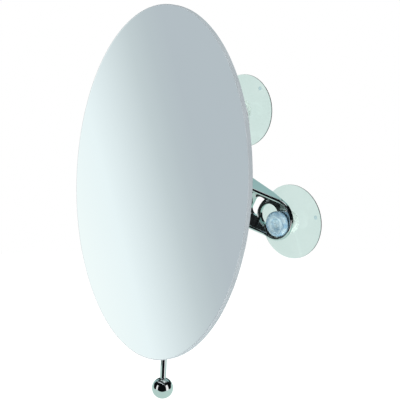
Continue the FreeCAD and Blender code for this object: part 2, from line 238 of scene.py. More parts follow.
def mixed(tree, mask, under, over):
    """Mix node of two colours: under where the mask is 0, over where it is 1."""
    node = tree.nodes.new("ShaderNodeMix")
    node.data_type = "RGBA"
    feed(tree, node.inputs["Factor"], mask)
    for socket, colour in zip((s for s in node.inputs if s.type == "RGBA"), (under, over)):
        feed(tree, socket, colour)
    return next(s for s in node.outputs if s.type == "RGBA")


print("helpers for nodes:", noise.__name__, spread.__name__, combine.__name__, mixed.__name__)

# %% Handling marks
PATCH_DETAIL, STREAK_DETAIL = 4.0, 2.0
PATCH_EDGES, STREAK_EDGES = (0.42, 0.68), (0.35, 0.75)
FAINTEST_STREAK = 0.55
CLOUD_EDGES = (0.3, 0.7)

marks_group, marks_in, marks_out = new_group(
    "handling_marks", {"Patch Scale": 60.0, "Streak Scale": 400.0}, ["Mask", "Shade"])
patches = noise(marks_group, marks_in.outputs["Patch Scale"], PATCH_DETAIL)
streaks = noise(marks_group, marks_in.outputs["Streak Scale"], STREAK_DETAIL)
patch_mask = spread(marks_group, patches, PATCH_EDGES)
streak_mask = spread(marks_group, streaks, STREAK_EDGES, (FAINTEST_STREAK, 1.0))
feed(marks_group, marks_out.inputs["Mask"], combine(marks_group, "MULTIPLY", patch_mask, streak_mask))
feed(marks_group, marks_out.inputs["Shade"], spread(marks_group, patches, CLOUD_EDGES))
print("effect:", marks_group.name, "of", len(marks_group.nodes), "nodes")

# %% Fine grain
GRAIN_DETAIL = 3.0

grain_group, grain_in, grain_out = new_group(
    "fine_grain", {"Grain Scale": 900.0, "Cloud Scale": 40.0}, ["Height", "Cloud"])
grains = noise(grain_group, grain_in.outputs["Grain Scale"], GRAIN_DETAIL)
clouds = noise(grain_group, grain_in.outputs["Cloud Scale"], GRAIN_DETAIL)
feed(grain_group, grain_out.inputs["Height"], grains)
feed(grain_group, grain_out.inputs["Cloud"], spread(grain_group, clouds, CLOUD_EDGES))
print("effect:", grain_group.name, "of", len(grain_group.nodes), "nodes")

# %% [markdown]
# The painted light rings follow a piece's axis, so they read the attribute
# from_axis, each point's distance from that axis in millimetres. A Wave texture
# draws rings too, but round one centre, and the three cups share a finish. Here
# a cosine of the distance makes a band of painted highlight every Ring Spacing,
# with painted shade between, and a cloud of noise moves and breaks the rings.

# %% Painted light rings
RING_WANDER, RING_SHARE = 0.8, 0.55
WAVE_RANGE = (-1.0, 1.0)

rings_group, rings_in, rings_out = new_group(
    "painted_light_rings", {"Ring Spacing": 3.0, "Grain Scale": 260.0, "Cloud Scale": 240.0},
    ["Height", "Cloud"])
ring_grains = noise(rings_group, rings_in.outputs["Grain Scale"], GRAIN_DETAIL)
ring_clouds = noise(rings_group, rings_in.outputs["Cloud Scale"], GRAIN_DETAIL)
ring_cloud = spread(rings_group, ring_clouds, CLOUD_EDGES)
axis_distance = rings_group.nodes.new("ShaderNodeAttribute")
axis_distance.attribute_name = "from_axis"
even_count = combine(rings_group, "DIVIDE", axis_distance.outputs["Fac"], rings_in.outputs["Ring Spacing"])
wander = combine(rings_group, "MULTIPLY", ring_cloud, RING_WANDER)
ring_count = combine(rings_group, "ADD", even_count, wander)
# painted highlight and painted shade: the cosine bands decide how near to white or dark blue the head's
# colour is
wave = combine(rings_group, "COSINE", combine(rings_group, "MULTIPLY", ring_count, 2 * math.pi))
ring_light = spread(rings_group, wave, WAVE_RANGE, (0.0, RING_SHARE), smooth=False)
rest_light = combine(rings_group, "MULTIPLY", ring_cloud, 1.0 - RING_SHARE)
feed(rings_group, rings_out.inputs["Cloud"], combine(rings_group, "ADD", ring_light, rest_light))
feed(rings_group, rings_out.inputs["Height"], ring_grains)
print("effect:", rings_group.name, "of", len(rings_group.nodes), "nodes")

# %% [markdown]
# ## Finishes
#
# A finish is a Principled shader whose colour, gloss and relief come from one
# of those effects. Values that are the same all over, such as the index of
# refraction, are set on the shader's own sockets, where an export finds them.

# %% Finish helper
def finish(name, settings, effect, values, colours, mask, roughness=None, bump=None):
    """Material with a Principled shader fed by one effect.

    settings go to the shader and values to the effect. The two colours are mixed by the effect's
    output mask, roughness is (output, low, high) and bump is (output, distance in metres).
    """
    material = bpy.data.materials.new(name)
    material.use_nodes = True
    tree = material.node_tree
    shader = tree.nodes["Principled BSDF"]
    for label, value in settings.items():
        shader.inputs[label].default_value = value
    group = tree.nodes.new("ShaderNodeGroup")
    group.node_tree = effect
    for label, value in values.items():
        group.inputs[label].default_value = value
    feed(tree, shader.inputs["Base Color"], mixed(tree, group.outputs[mask], *colours))
    if roughness:
        output, *limits = roughness
        gloss = spread(tree, group.outputs[output], FULL_RANGE, limits, smooth=False)
        feed(tree, shader.inputs["Roughness"], gloss)
    if bump:
        output, distance = bump
        relief = tree.nodes.new("ShaderNodeBump")
        feed(tree, relief.inputs["Distance"], distance)
        feed(tree, relief.inputs["Height"], group.outputs[output])
        feed(tree, shader.inputs["Normal"], relief.outputs["Normal"])
    return material


print("finish helper for effects:", ", ".join(group.name for group in bpy.data.node_groups))

# %% [markdown]
# ### Metals
#
# Bracket, plate, rod and ball are bright chrome, and the small hinge parts are
# steel with a duller zinc plating. Plating could be a coat over a base, but it
# hides what is under it, so one metal of its colour does. Handling marks change
# its gloss a little, because metal that is too even looks drawn.

# %% Chrome and zinc
chrome = finish(
    "chrome", {"Metallic": 1.0}, marks_group, {"Patch Scale": 55.0, "Streak Scale": 380.0},
    colours=[(0.86, 0.88, 0.88), (0.78, 0.80, 0.81)], mask="Shade", roughness=("Mask", 0.03, 0.07))
zinc = finish(
    "zinc_plated_steel", {"Metallic": 1.0}, marks_group, {"Patch Scale": 220.0, "Streak Scale": 1600.0},
    colours=[(0.62, 0.63, 0.65), (0.46, 0.48, 0.52)], mask="Shade", roughness=("Mask", 0.24, 0.40))
print("metals:", chrome.name, "and", zinc.name)

# %% [markdown]
# ### Nylon, paint and foam
#
# Behind the glass are nylon washers, the dark paint that keeps the silver from
# the air, and black foam tape. They are matt, so grain in the bump and a cloud
# in the colour are enough. The nylon lets a little light in under its surface.

# %% Finishes behind the glass
nylon = finish(
    "nylon", {"IOR": 1.53, "Subsurface Weight": 0.1, "Subsurface Scale": 2.0 * MM},
    grain_group, {"Grain Scale": 1500.0, "Cloud Scale": 180.0},
    colours=[(0.80, 0.79, 0.72), (0.72, 0.71, 0.63)], mask="Cloud",
    roughness=("Cloud", 0.38, 0.5), bump=("Height", 0.03 * MM))
back_paint = finish(
    "mirror_back_paint", {"IOR": 1.5}, grain_group, {"Grain Scale": 620.0, "Cloud Scale": 18.0},
    colours=[(0.009, 0.010, 0.012), (0.006, 0.007, 0.009)], mask="Cloud",
    roughness=("Cloud", 0.42, 0.56), bump=("Height", 0.06 * MM))
foam = finish(
    "foam_tape", {"IOR": 1.45}, grain_group, {"Grain Scale": 2600.0, "Cloud Scale": 140.0},
    colours=[(0.030, 0.030, 0.032), (0.017, 0.017, 0.019)], mask="Cloud",
    roughness=("Cloud", 0.8, 0.95), bump=("Height", 0.2 * MM))
print("behind the glass:", nylon.name, back_paint.name, foam.name)

# %% [markdown]
# ### Mirror glass
#
# A mirror is clear glass with silver on its back. It could be built as glass
# over metal, which gives a faint second image. A flat metal face with no
# roughness at all gives the clean image that a mirror is known by. The edge
# that a stone has ground is matt and grey. The eased arris has the same grey
# painted a little darker, as painted shade that dims the light it catches.

# %% Silvering and ground glass
GLASS_IOR = 1.52
GROUND_RELIEF = 0.01 * MM


def ground_glass(name, colours, roughness):
    """Matt finish of glass that a stone has ground."""
    return finish(name, {"IOR": GLASS_IOR}, grain_group, {"Grain Scale": 1800.0, "Cloud Scale": 90.0},
                  colours, mask="Cloud", roughness=("Cloud", *roughness), bump=("Height", GROUND_RELIEF))


silvering = finish(
    "silvered_face", {"Metallic": 1.0, "Roughness": 0.0},
    marks_group, {"Patch Scale": 9.0, "Streak Scale": 60.0},
    colours=[(0.935, 0.960, 0.955), (0.925, 0.952, 0.948)], mask="Shade")
ground_edge = ground_glass(
    "ground_glass_edge", [(0.39, 0.43, 0.455), (0.355, 0.395, 0.42)], roughness=(0.35, 0.5))
# painted shade: the arris grey is about a tenth darker than the edge grey, to dim the light line that the
# arris catches
arris_painted_shade = ground_glass(
    "glass_arris_painted_shade", [(0.345, 0.382, 0.404), (0.315, 0.351, 0.372)], roughness=(0.45, 0.6))
print("glass:", silvering.name, ground_edge.name, arris_painted_shade.name)

# %% [markdown]
# ### Soft clear plastic
#
# A cup is one clear soft plastic, and how clear it looks depends on how thick
# it is. A volume that absorbs light could do this, but it renders slowly and
# with noise. So there are four finishes: a clear disc, a cloudy stub, a milky
# head whose colour carries rings of painted highlight and painted shade, and a
# tinted nib.

# %% Finishes of the cups
PLASTIC_IOR = 1.45
PLASTIC_RELIEF = 0.02 * MM
CLEAR_LIGHT, MILKY_LIGHT = 1.0, 0.3


def soft_plastic(name, transmission, effect, values, colours, roughness):
    """Finish of the cups' plastic, where transmission is the share of light that goes through."""
    return finish(name, {"IOR": PLASTIC_IOR, "Transmission Weight": transmission},
                  effect, {"Grain Scale": 260.0, **values}, colours, mask="Cloud",
                  roughness=("Cloud", *roughness), bump=("Height", PLASTIC_RELIEF))


clear_cup = soft_plastic(
    "clear_soft_plastic", CLEAR_LIGHT, grain_group, {"Cloud Scale": 45.0},
    [(0.69, 0.835, 0.80), (0.66, 0.815, 0.775)], roughness=(0.04, 0.09))
# milky blue plastic with painted light: its colour runs in rings from dark blue to near white, as painted
# highlight and painted shade
milky_head_painted_light = soft_plastic(
    "milky_plastic_painted_light", MILKY_LIGHT, rings_group, {"Ring Spacing": 3.6, "Cloud Scale": 150.0},
    [(0.31, 0.54, 0.72), (0.71, 0.93, 1.0)], roughness=(0.03, 0.08))
cloudy_stub = soft_plastic(
    "cloudy_soft_plastic", MILKY_LIGHT, grain_group, {"Cloud Scale": 120.0},
    [(0.71, 0.85, 0.79), (0.67, 0.82, 0.76)], roughness=(0.10, 0.20))
tinted_nib = soft_plastic(
    "thick_soft_plastic", CLEAR_LIGHT, grain_group, {"Cloud Scale": 45.0},
    [(0.42, 0.60, 0.66), (0.36, 0.54, 0.60)], roughness=(0.04, 0.09))
print("cups:", clear_cup.name, milky_head_painted_light.name, cloudy_stub.name, tinted_nib.name)

# %% [markdown]
# ## Finishes on the solids that stay
#
# Castings, hinge parts, rod and ball could be modelled again here, but their
# solids already have the right shape and true normals. So they stay, and only
# their material slots change.

# %% Dress the solids
dressed = {
    chrome: ["bracket_hub", "bracket_arm_top", "bracket_arm_left", "bracket_arm_right",
             "knuckle_block", "back_plate", "handle_rod", "handle_ball"],
    zinc: ["swivel_bolt", "swivel_nut", "swivel_spring_washer", "tilt_bolt", "tilt_nut",
           "tilt_spring_washer", "rod_set_screw"],
    nylon: ["swivel_washers", "tilt_washers"],
    back_paint: ["mirror_backing"],
}
for material, names in dressed.items():
    for name in names:
        nodes[name].data.materials.clear()
        nodes[name].data.materials.append(material)
    print(material.name, "on", len(names), "solids")

# %% [markdown]
# ## The oval glass
#
# The glass is a flat oval with eased arrises and a ground edge. A cylinder that
# is scaled to an oval would stretch its bevel too. So its section is walked,
# from the middle of the front, over the arris, down the edge, over the rear
# arris and back to the middle. Each section point is an inset from the outline
# and a depth, and is carried round the oval. The front has no points between
# its middle and its rim, so it stays flat and mirrors without a ripple.

# %% Carry a section round an oval
TILT_AXIS_OUT = 72.0099 * MM
REST_TILT = math.radians(3.8)


def leaned(across, out, up):
    """Points across, out and up from the tilt axis, leaned back by the rest tilt t.

    y = up sin t - out cos t, less the distance of the axis from the wall, and z = out sin t + up cos t
    """
    y = -out * math.cos(REST_TILT) + up * math.sin(REST_TILT)
    z = out * math.sin(REST_TILT) + up * math.cos(REST_TILT)
    return stacked(across, y - TILT_AXIS_OUT, z)


def full_turn(columns):
    """Angles of a closed grid's columns: 2 pi j / columns, without the end, which is the start again."""
    return np.linspace(0, 2 * math.pi, columns, endpoint=False)


def carried_round(wide, tall, out, rise, columns):
    """Section of half widths, half heights and depths out, carried round an oval.

    across = wide sin t and up = rise + tall cos t, for t round a full turn
    """
    turn = full_turn(columns)
    return leaned(wide * np.sin(turn), out, rise + tall * np.cos(turn))


print("tilt axis:", round(TILT_AXIS_OUT / MM, 1), "mm from the wall")
print("lean at rest:", round(math.degrees(REST_TILT), 1), "degrees")

# %% Section of the glass
GLASS_BACK = 19.5 * MM
GLASS_FRONT = 23.5 * MM
GLASS_HALF_WIDTH = 86.4 * MM
ARRIS = 0.7 * MM
ARRIS_STEPS = 7
FILLET_STEPS = 5


def fillet(corner, before, after, radius, steps=FILLET_STEPS):
    """Points of an arc that rounds a corner between two neighbours.

    The centre lies on the bisector at radius / sin(half the angle), and the points turn evenly from
    one tangent point to the other: (start sin((1 - s) w) + end sin(s w)) / sin w for the arc's angle w.
    """
    into = (before - corner) / np.linalg.norm(before - corner)
    out = (after - corner) / np.linalg.norm(after - corner)
    half = math.acos(np.clip(into @ out, -1, 1)) / 2
    middle = (into + out) / np.linalg.norm(into + out)
    centre = corner + middle * radius / math.sin(half)
    start = corner + into * radius / math.tan(half) - centre
    end = corner + out * radius / math.tan(half) - centre
    sweep = math.pi - 2 * half
    share = np.linspace(0, 1, steps)[:, None]
    return centre + (start * np.sin((1 - share) * sweep) + end * np.sin(share * sweep)) / math.sin(sweep)


front_corner, back_corner = np.array([0.0, GLASS_FRONT]), np.array([0.0, GLASS_BACK])
inward = np.array([GLASS_HALF_WIDTH, 0.0])
arris_front = fillet(front_corner, front_corner + inward, back_corner, ARRIS, ARRIS_STEPS)
arris_back = fillet(back_corner, front_corner, back_corner + inward, ARRIS, ARRIS_STEPS)
front_line = np.array([[GLASS_HALF_WIDTH, GLASS_FRONT], [2 * ARRIS, GLASS_FRONT]])
back_line = np.array([[2 * ARRIS, GLASS_BACK], [GLASS_HALF_WIDTH, GLASS_BACK]])
glass_section = np.concatenate([front_line, arris_front, arris_back, back_line])
print("glass section:", len(glass_section), "points")

# %% Make the glass
GLASS_HALF_HEIGHT = 123.7 * MM
GLASS_RISE = 3.3 * MM
GLASS_COLUMNS = 360
GLASS_SHARP_DEGREES = 60.0
FACE_MATERIAL, EDGE_MATERIAL, ARRIS_MATERIAL = range(3)

glass_inset, glass_out = glass_section[:, :1], glass_section[:, 1:]
glass_wide = GLASS_HALF_WIDTH - glass_inset  # zero at the two middle points, which get no height either
glass_tall = np.where(glass_wide > 0.0, GLASS_HALF_HEIGHT - glass_inset, 0.0)
glass_grid = carried_round(glass_wide, glass_tall, glass_out, GLASS_RISE, GLASS_COLUMNS)
face_end = len(front_line)
arris_end = face_end + ARRIS_STEPS - 1
glass_bands = np.full((len(glass_section) - 1, 1), EDGE_MATERIAL)
glass_bands[:face_end] = FACE_MATERIAL
glass_bands[face_end:arris_end] = ARRIS_MATERIAL
glass_mesh = mesh_from_grid("oval_glass", glass_grid, glass_bands, GLASS_SHARP_DEGREES)
add_piece("oval_glass", glass_mesh, "mirror_head", "mirror_glass",
          [silvering, ground_edge, arris_painted_shade])
print("glass:", len(glass_mesh.polygons), "faces")

# %% [markdown]
# ## The foam pad
#
# The pad is double-sided foam tape, squeezed between glass and plate, so its
# edge bulges a little. A cloth simulation could squeeze it, but between two hard
# faces only the rim can move, and a formula gives that at once: the rim is half
# a cosine, with the radius R - s + s cos v for a bulge s.

# %% Make the pad
PAD_RADIUS = 24.0 * MM
PAD_BULGE = 0.35 * MM
PAD_BACK = 18.1 * MM
PAD_FRONT = 19.1 * MM
PAD_RIM_ROWS = 13
PAD_COLUMNS = 160

lift = np.linspace(-math.pi / 2, math.pi / 2, PAD_RIM_ROWS)
pad_rim = np.stack([PAD_RADIUS - PAD_BULGE + PAD_BULGE * np.cos(lift),
                    (PAD_BACK + PAD_FRONT) / 2 + (PAD_FRONT - PAD_BACK) / 2 * np.sin(lift)], axis=-1)
pad_section = np.concatenate([[[0.0, PAD_BACK]], pad_rim, [[0.0, PAD_FRONT]]])
pad_reach, pad_out = pad_section[:, :1], pad_section[:, 1:]
pad_grid = carried_round(pad_reach, pad_reach, pad_out, 0.0, PAD_COLUMNS)
foam_pad = add_piece("foam_pad", mesh_from_grid("foam_pad", pad_grid), "mirror_head",
                     "adhesive_pad", [foam])
print("pad:", len(foam_pad.data.polygons), "faces")

# %% [markdown]
# ## The suction cups
#
# A suction cup is moulded in one piece from clear soft plastic: a thin disc with
# a hollow face, a stub that rises to the arm, a neck that sits in the keyhole
# and a dimpled mushroom head. It could be turned with a Screw modifier, but a
# grid gives every row its own material, so that each thickness of the plastic
# can have its own finish. The profile is in millimetres, as distance from the
# axis and height over the wall, and is walked from the hollow face to the
# dimple.

# %% Disc of a cup
CUP_RADIUS = 27.5
LIP_INNER = 25.0
LIP_THICKNESS = 1.0
LIP_ROUND, RIM_ROUND = 0.3, 0.4
HOLLOW = 2.2
ROOT_RADIUS, ROOT_THICKNESS = 8.6, 2.6
HOLLOW_ROWS, DISC_ROWS = 24, 64
RIM_JOIN = 4  # row of the disc where the rounded rim ends


def rounded(points, radii):
    """Polyline with each inner corner replaced by an arc of its radius."""
    points = np.asarray(points, float)
    arcs = [fillet(points[count], points[count - 1], points[count + 1], radius)
            for count, radius in enumerate(radii, start=1)]
    return np.concatenate([points[:1], *arcs, points[-1:]])


hollow_r = np.linspace(0, LIP_INNER, HOLLOW_ROWS)
hollow_line = np.stack([hollow_r, HOLLOW * (1 - (hollow_r / LIP_INNER) ** 2)], axis=-1)
disc_share = np.linspace(0, 1, DISC_ROWS)[:, None]
disc_line = (1 - disc_share) * (CUP_RADIUS, LIP_THICKNESS) + disc_share * (ROOT_RADIUS, ROOT_THICKNESS)
rim_line = rounded([hollow_line[-1], (CUP_RADIUS, 0.0), disc_line[0], disc_line[RIM_JOIN]],
                   [LIP_ROUND, RIM_ROUND])
print("disc:", len(hollow_line), "rows inside,", len(rim_line), "round the rim")

# %% Stub and head of a cup
ROOT_ROUND, STUB_ROUND, NECK_ROUND = 2.7, 0.5, 0.4
STUB_RADIUS, STUB_FRONT = 5.6, 12.2
NECK = 4.5
HEAD_BACK, HEAD_WIDE, HEAD_FRONT = 15.3, 15.9, 19.8
HEAD_RADIUS, HEAD_REAR = 9.2, 8.4
SHOULDER_ROUND, HEAD_ROUND = 0.5, 1.8
DIMPLE_RADIUS, DIMPLE_DEPTH = 5.8, 1.3
DIMPLE_ROWS = 14

stub_line = rounded(
    [disc_line[-1], (STUB_RADIUS, ROOT_THICKNESS), (STUB_RADIUS, STUB_FRONT), (NECK, STUB_FRONT),
     (NECK, HEAD_BACK), (HEAD_REAR, HEAD_BACK)],
    [ROOT_ROUND, STUB_ROUND, NECK_ROUND, NECK_ROUND])
head_line = rounded(
    [(HEAD_REAR, HEAD_BACK), (HEAD_RADIUS, HEAD_WIDE), (HEAD_RADIUS, HEAD_FRONT),
     (DIMPLE_RADIUS, HEAD_FRONT)],
    [SHOULDER_ROUND, HEAD_ROUND])
dimple_r = np.linspace(DIMPLE_RADIUS, 0, DIMPLE_ROWS)
dimple_sink = DIMPLE_DEPTH * (1 + np.cos(math.pi * dimple_r / DIMPLE_RADIUS)) / 2
dimple_line = np.stack([dimple_r, HEAD_FRONT - dimple_sink], axis=-1)
print("stub and head:", len(stub_line), "and", len(head_line), "rows, dimple", len(dimple_line))

# %% Profile of a cup and its finishes
CLEAR, CLOUDY, MILKY, TINTED = range(4)

parts_of_cup = [hollow_line, rim_line[1:], disc_line[RIM_JOIN + 1:], stub_line[1:], head_line[1:],
                dimple_line[1:]]
cup_profile = np.concatenate(parts_of_cup)
part_ends = np.cumsum([len(part) for part in parts_of_cup])
disc_start, stub_start = part_ends[1], part_ends[2] - 1  # the stub starts at the disc's last row
cup_bands = np.full((len(cup_profile) - 1, 1), CLEAR)
cup_bands[stub_start:] = CLOUDY
cup_bands[cup_profile[1:, 1] > STUB_FRONT] = MILKY
print("cup profile:", len(cup_profile), "rows, stub from row", stub_start)

# %% [markdown]
# The moulding nib is a small swelling on the front of the disc. It could be a
# ball joined on with a Boolean, but as a swelling it flows into the disc as
# moulded plastic does. The grid's columns crowd round it, so that it comes out
# smooth. The three cups are the same shape in three places, each with its nib
# at an angle of its own, and each rides on its own body.

# %% Make the cups
CUP_CIRCLE = 54.0
CUP_ANGLES = {"top": 90.0, "left": 210.0, "right": 330.0}
NIB_ANGLES = {"top": 45.0, "left": 150.0, "right": 12.7}
NIB_OFFSET, NIB_RADIUS, NIB_HEIGHT = 23.7, 2.4, 1.4
NIB_TINT_FROM = NIB_HEIGHT / 4
NIB_CROWDING = 0.85
CUP_COLUMNS = 192
CUP_SHARP_DEGREES = 50.0


def cup_grid(centre, nib_angle):
    """Profile turned about the cup's axis, x r cos t and z r sin t, with a nib swelling the disc's front.

    The columns are t = nib + u - c sin u for u evenly round a full turn, which crowds them where u is
    near 0. The nib adds h (1 + cos(pi d / n)) / 2 within the distance d = n of its centre. Also
    returned is a mask of the quads that the nib lifts.
    """
    even = full_turn(CUP_COLUMNS)
    turn = nib_angle + even - NIB_CROWDING * np.sin(even)
    radius, out = cup_profile[:, :1], cup_profile[:, 1:]
    x, z = radius * np.cos(turn), radius * np.sin(turn)
    away = np.hypot(x - NIB_OFFSET * math.cos(nib_angle), z - NIB_OFFSET * math.sin(nib_angle))
    on_front = (np.arange(len(cup_profile)) >= disc_start)[:, None]
    swell = on_front * NIB_HEIGHT * (1 + np.cos(math.pi * np.minimum(away / NIB_RADIUS, 1.0))) / 2
    lifted = (swell[:-1] > NIB_TINT_FROM) & (swell[1:] > NIB_TINT_FROM)
    return stacked(centre[0] + x, -(out + swell), centre[1] + z) * MM, lifted


for name, angle in CUP_ANGLES.items():
    way = math.radians(angle)
    centre = np.array([math.cos(way), math.sin(way)]) * CUP_CIRCLE
    points, nib_quads = cup_grid(centre, math.radians(NIB_ANGLES[name]))
    from_axis = np.broadcast_to(cup_profile[:, :1], points.shape[:2])
    cup_mesh = mesh_from_grid("cup_" + name, points, np.where(nib_quads, TINTED, cup_bands),
                              CUP_SHARP_DEGREES, reach=from_axis)
    add_piece("soft_cup_" + name, cup_mesh, "cup_" + name, "suction_cup_" + name,
              [clear_cup, cloudy_stub, milky_head_painted_light, tinted_nib])
    print("cup", name, len(cup_mesh.polygons), "faces")

# %% [markdown]
# ## The studio's dome
#
# Polished metal and mirror show only what stands round them, so the studio
# matters as much as the finishes. A picture of a room on the world could do it,
# but this lesson uses no image files. So a large dome is painted by direction,
# in degrees of azimuth and elevation. It is a dark room with a window light, a
# ceiling light, a pale ground and two teal panels, which give the chrome its
# contrast.

# %% The dome's directions
DEGREES = math.degrees(1.0)


def stage_material(name):
    """Empty material and its node tree, for things that are not part of the object."""
    material = bpy.data.materials.new(name)
    material.use_nodes = True
    material.node_tree.nodes.clear()
    return material, material.node_tree


dome_material, dome_tree = stage_material("studio_dome")
place = dome_tree.nodes.new("ShaderNodeTexCoord")
aim = dome_tree.nodes.new("ShaderNodeVectorMath")
aim.operation = "NORMALIZE"
feed(dome_tree, aim.inputs[0], place.outputs["Object"])
axes = dome_tree.nodes.new("ShaderNodeSeparateXYZ")
feed(dome_tree, axes.inputs["Vector"], aim.outputs["Vector"])
towards_room = combine(dome_tree, "MULTIPLY", axes.outputs["Y"], -1.0)
turned = combine(dome_tree, "ARCTAN2", axes.outputs["X"], towards_room)
raised = combine(dome_tree, "ARCSINE", axes.outputs["Z"])
dome_azimuth = combine(dome_tree, "MULTIPLY", turned, DEGREES)
dome_elevation = combine(dome_tree, "MULTIPLY", raised, DEGREES)
print("dome directions:", len(dome_tree.nodes), "nodes")

# %% The dark room and its lights
HALF_TURN = 180.0
FALLING = (1.0, 0.0)
DARK_ROOM = (0.004, 0.005, 0.006)
TEAL_PANEL = (0.34, 0.53, 0.52)
WINDOW_LIGHT = (1.0, 1.0, 1.0)
PALE_GROUND = (0.53, 0.71, 0.66)
CEILING_LIGHT = (0.72, 0.80, 0.80)
ROOM_PANELS = [  # azimuth of the middle, half width, low and high elevation, soft edge; colour
    (-167.0, 22.0, 28.0, 55.0, 6.0, TEAL_PANEL),
    (180.0, 70.0, -90.0, -16.0, 3.0, PALE_GROUND),
    (0.0, 190.0, 64.0, 100.0, 5.0, CEILING_LIGHT),
    (-17.0, 9.0, -12.0, 32.0, 2.5, WINDOW_LIGHT),
    (-95.0, 12.0, -5.0, 45.0, 5.0, TEAL_PANEL),
]


def soft_panel(middle, half_width, low, high, edge):
    """Mask of a lit panel: 1 inside an azimuth and elevation window, 0 outside, soft at its edges."""
    turn = combine(dome_tree, "SUBTRACT", dome_azimuth, middle)
    aside = combine(dome_tree, "ABSOLUTE", combine(dome_tree, "WRAP", turn, HALF_TURN, -HALF_TURN))
    across = spread(dome_tree, aside, (half_width - edge, half_width + edge), FALLING)
    above = spread(dome_tree, dome_elevation, (low - edge, low + edge))
    below = spread(dome_tree, dome_elevation, (high - edge, high + edge), FALLING)
    return combine(dome_tree, "MULTIPLY", across, combine(dome_tree, "MULTIPLY", above, below))


room = DARK_ROOM
for *window, colour in ROOM_PANELS:
    room = mixed(dome_tree, soft_panel(*window), room, colour)
print("room:", len(ROOM_PANELS), "lit panels")

# %% [markdown]
# A flat mirror would show the dark room as a black oval. A card in front of it
# could help, but every other view would show the card's edge. So for perfectly
# sharp reflections, which only the silvered face gives, the dome shows a soft
# sweep of pale and blue-grey panels that lean a little, as a retoucher lays into
# a catalogue mirror.

# %% The sweep that the mirror shows
PALE_PANEL = (0.930, 1.000, 1.000)
PALE_EDGE = (0.860, 0.948, 0.969)
GREY_EDGE = (0.530, 0.598, 0.623)
GREY_PANEL = (0.484, 0.539, 0.580)
SWEEP_SLOPE = 0.36
SWEEP_STOPS = [(-180.0, GREY_PANEL), (-150.0, PALE_PANEL), (-115.0, GREY_PANEL), (-75.0, PALE_PANEL),
               (-52.0, PALE_PANEL), (-49.0, PALE_EDGE), (-44.4, GREY_EDGE), (-42.5, GREY_PANEL),
               (-22.0, GREY_PANEL), (6.0, PALE_PANEL), (35.0, GREY_PANEL), (65.0, PALE_PANEL),
               (95.0, GREY_PANEL), (130.0, PALE_PANEL), (180.0, GREY_PANEL)]

slope = combine(dome_tree, "MULTIPLY", dome_elevation, SWEEP_SLOPE)
tilted = combine(dome_tree, "ADD", dome_azimuth, slope)
ramp = dome_tree.nodes.new("ShaderNodeValToRGB")
feed(dome_tree, ramp.inputs["Fac"], spread(dome_tree, tilted, (-HALF_TURN, HALF_TURN), smooth=False))
stops = ramp.color_ramp.elements  # a new ramp already has its two ends
stop_angles, stop_colours = zip(*SWEEP_STOPS)
for angle in stop_angles[1:-1]:
    stops.new((angle + HALF_TURN) / (2 * HALF_TURN))
for stop, colour in zip(stops, stop_colours):
    stop.color = (*colour, 1.0)
print("sweep stops:", len(stops))

# %% [markdown]
# The dome is seen by reflections, and by rays that go through a cup. A look
# straight through a cup should find plain white, like the backdrop, while a
# reflection that passes through a cup should find the room. The Light Path node
# tells them apart by how many glossy bounces a ray has had.

# %% Studio helpers
HALF_A_BOUNCE = 0.5
RAY_KINDS = ("camera", "diffuse", "glossy", "transmission", "volume_scatter", "shadow")


def straight_look(tree, path):
    """Mask of the rays that come through a cup and have had no glossy bounce."""
    unreflected = combine(tree, "LESS_THAN", path.outputs["Glossy Depth"], HALF_A_BOUNCE)
    return combine(tree, "MULTIPLY", path.outputs["Is Transmission Ray"], unreflected)


def put_out(tree, surface):
    """Material output of a shader."""
    feed(tree, tree.nodes.new("ShaderNodeOutputMaterial").inputs["Surface"], surface)


def staged(name, grid, material, seen_by, closed=True):
    """Object of the studio, made of a grid, that only the named kinds of ray see."""
    mesh = mesh_from_grid(name, grid, closed=closed)
    mesh.materials.append(material)
    thing = bpy.data.objects.new(name, mesh)
    bpy.context.scene.collection.objects.link(thing)
    for kind in RAY_KINDS:
        setattr(thing, "visible_" + kind, kind in seen_by)


print("kinds of ray:", ", ".join(RAY_KINDS))

# %% Put up the dome
DOME_RADIUS = 6.0
DOME_COLUMNS, DOME_ROWS = 96, 49

dome_path = dome_tree.nodes.new("ShaderNodeLightPath")
reflected = mixed(dome_tree, dome_path.outputs["Is Singular Ray"], room, ramp.outputs["Color"])
dome_glow = dome_tree.nodes.new("ShaderNodeEmission")
dome_colour = mixed(dome_tree, straight_look(dome_tree, dome_path), reflected, WINDOW_LIGHT)
feed(dome_tree, dome_glow.inputs["Color"], dome_colour)
put_out(dome_tree, dome_glow.outputs["Emission"])

round_turn = full_turn(DOME_COLUMNS)
dome_tilt = np.linspace(-math.pi / 2, math.pi / 2, DOME_ROWS)[:, None]
staged("studio_dome", DOME_RADIUS * direction(round_turn, dome_tilt), dome_material,
       seen_by=("glossy", "transmission"))
print("dome:", len(dome_tree.nodes), "nodes")

# %% [markdown]
# ## The floor
#
# The mirror hangs on a wall, so the floor lies well below it and is only a pale
# ground. White paper alone would render grey under these lamps. More light
# would bleach the object, so the paper glows a little for the camera only, and
# keeps its shadows.

# %% Lay the floor
FLOOR_HEIGHT = -0.5
FLOOR_RADIUS = 2.5
FLOOR_LIFT = 0.5
PAPER = (0.86, 0.86, 0.86)
WHITE = (1.0, 1.0, 1.0)

